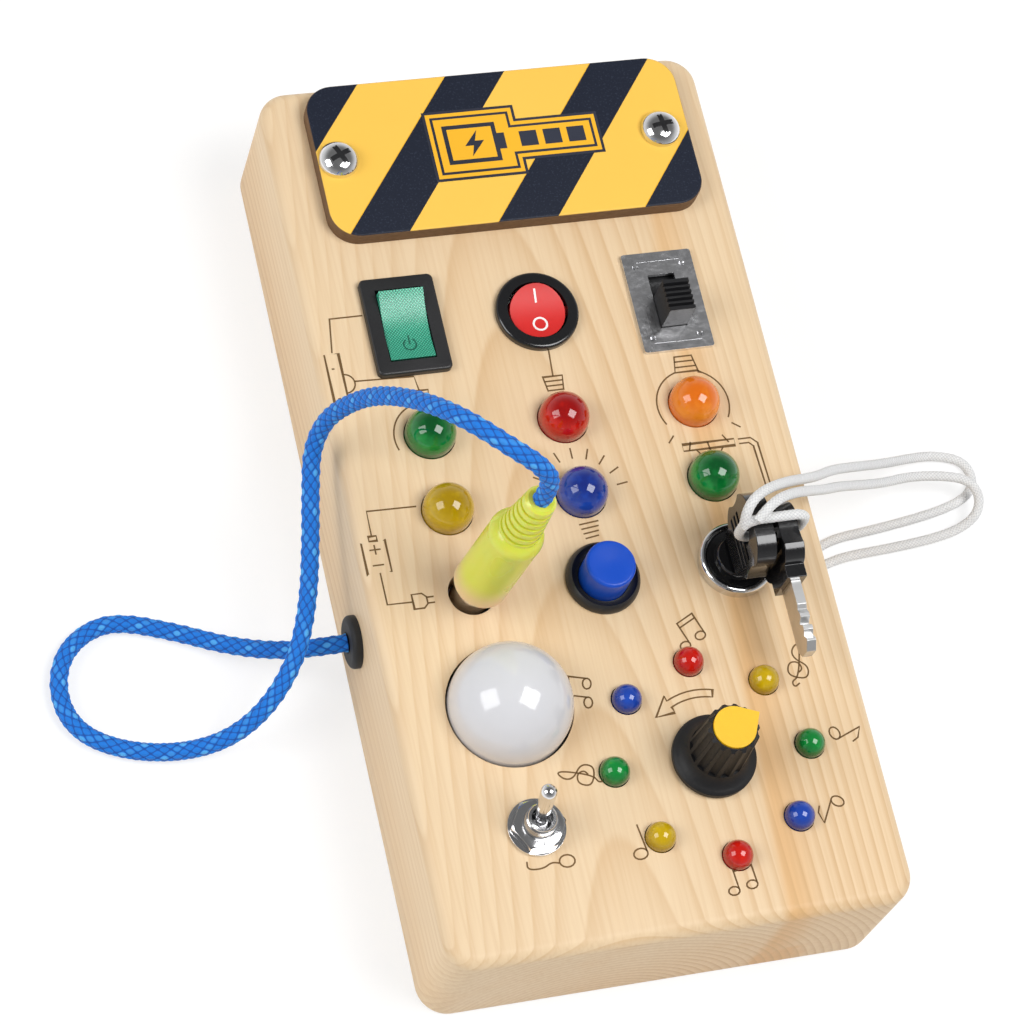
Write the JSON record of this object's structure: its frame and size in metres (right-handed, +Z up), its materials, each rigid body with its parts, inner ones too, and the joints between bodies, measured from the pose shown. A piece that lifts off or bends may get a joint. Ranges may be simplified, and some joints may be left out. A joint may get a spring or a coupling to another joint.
{
  "type": "wooden busy board",
  "caption": "Hollow pine busy board with rocker, toggle, slide, rotary, push and key switches, lamps, a dome light, a corded plug and keys on a lanyard.",
  "frame": {"origin": "middle of the wooden block's back face, on which the board lies", "axes": "+Z up out of the front face, +X to the right across the face, +Y along the block towards the striped plate"},
  "size_m": [0.1981, 0.184, 0.09],
  "materials": {
    "pine": "sanded, clear oiled",
    "plywood": "sanded",
    "striped_fibreboard": "printed in yellow and black",
    "steel": "zinc plated",
    "chrome": "polished",
    "brass": "plain",
    "black_plastic": "moulded",
    "gloss_black": "polished",
    "cell_wrap": "shrink wrap",
    "clear_green": "clear tinted",
    "red_plastic": "polished",
    "blue_plastic": "polished",
    "yellow_plastic": "polished",
    "lamp_green": "clear tinted",
    "lamp_red": "clear tinted",
    "lamp_orange": "clear tinted",
    "lamp_yellow": "clear tinted",
    "lamp_blue": "clear tinted",
    "opal_white": "translucent",
    "plug_yellow": "translucent",
    "circuit_green": "lacquered",
    "black_rubber": "moulded",
    "blue_braid": "braided",
    "white_braid": "braided"
  },
  "bodies": {
    "board": {"wooden_body": "pine", "back_cover": "plywood", "back_cover_screws": "steel", "front_plate": "striped_fibreboard", "plate_screws": "chrome", "battery_tray": "black_plastic", "battery_cells": "cell_wrap", "battery_contacts": "steel", "rocker_housing": "black_plastic", "round_housing": "gloss_black", "slide_plate": "chrome", "slide_base": "black_plastic", "button_housing": "gloss_black", "button_spring": "steel", "panel_nuts": "steel", "toggle_case": "black_plastic", "toggle_bushing": "chrome", "toggle_washer": "chrome", "toggle_nut": "chrome", "lock_housing": "chrome", "lanyard_upper": "white_braid", "lanyard_lower": "white_braid", "lanyard_knot": "white_braid", "rotary_case": "black_plastic", "rotary_bushing": "brass", "dome_cover": "opal_white", "dome_board": "circuit_green", "lamps_green": "lamp_green", "lamp_red": "lamp_red", "lamp_orange": "lamp_orange", "lamp_yellow": "lamp_yellow", "lamp_blue": "lamp_blue", "ring_lamps_green": "lamp_green", "ring_lamps_yellow": "lamp_yellow", "ring_lamps_red": "lamp_red", "ring_lamps_blue": "lamp_blue", "lamp_leads": "steel", "lamp_board": "circuit_green", "ring_board": "circuit_green", "switch_terminals": "brass", "socket_sleeve": "chrome", "socket_body": "black_plastic", "cord": "blue_braid", "grommet": "black_rubber"},
    "green_rocker": {"green_rocker": "clear_green"},
    "red_rocker": {"red_rocker": "red_plastic"},
    "slider": {"slide_knob": "black_plastic"},
    "button": {"button_cap": "blue_plastic"},
    "toggle": {"toggle_lever": "chrome"},
    "barrel": {"lock_barrel": "gloss_black"},
    "keys": {"key_blade": "steel", "key_bow": "black_plastic", "spare_key_blade": "steel", "spare_key_bow": "black_plastic", "lanyard_hitch": "white_braid"},
    "knob": {"rotary_shaft": "steel", "knob_body": "black_plastic", "knob_cap": "yellow_plastic"},
    "plug": {"plug_pin": "chrome", "plug_shell": "plug_yellow"}
  },
  "joints": [
    {"name": "green_rocker_tilt", "type": "hinge", "parent": "board", "child": "green_rocker", "pos_m": [-0.027, 0.0372, 0.0294], "axis": [1, 0, 0], "range_deg": [-16, 0]},
    {"name": "red_rocker_tilt", "type": "hinge", "parent": "board", "child": "red_rocker", "pos_m": [0, 0.0372, 0.0294], "axis": [1, 0, 0], "range_deg": [-16, 0]},
    {"name": "slider_slide", "type": "slide", "parent": "board", "child": "slider", "axis": [0, 1, 0], "range_m": [0, 0.0048]},
    {"name": "button_press", "type": "slide", "parent": "board", "child": "button", "axis": [0, 0, -1], "range_m": [0, 0.0024], "stiffness_N_per_m": 200, "deforming": ["button_spring"]},
    {"name": "toggle_tilt", "type": "hinge", "parent": "board", "child": "toggle", "pos_m": [-0.0242, -0.0675, 0.0332], "axis": [1, 0, 0], "range_deg": [0, 25]},
    {"name": "lock_turn", "type": "hinge", "parent": "board", "child": "barrel", "pos_m": [0.027, -0.0203, 0.03], "axis": [0, 0, 1], "range_deg": [-90, 0], "deforming": ["lanyard_upper", "lanyard_lower"]},
    {"name": "key_pull", "type": "slide", "parent": "barrel", "child": "keys", "axis": [0, 0, 1], "range_m": [0, 0.0145], "deforming": ["lanyard_upper", "lanyard_lower"]},
    {"name": "knob_turn", "type": "hinge", "parent": "board", "child": "knob", "pos_m": [0.0127, -0.059, 0.03], "axis": [0, 0, 1], "range_deg": [-112.5, 202.5]},
    {"name": "plug_pull", "type": "slide", "parent": "board", "child": "plug", "axis": [0.1011, 0, 0.9949], "range_m": [0, 0.0145], "deforming": ["cord"]}
  ]
}
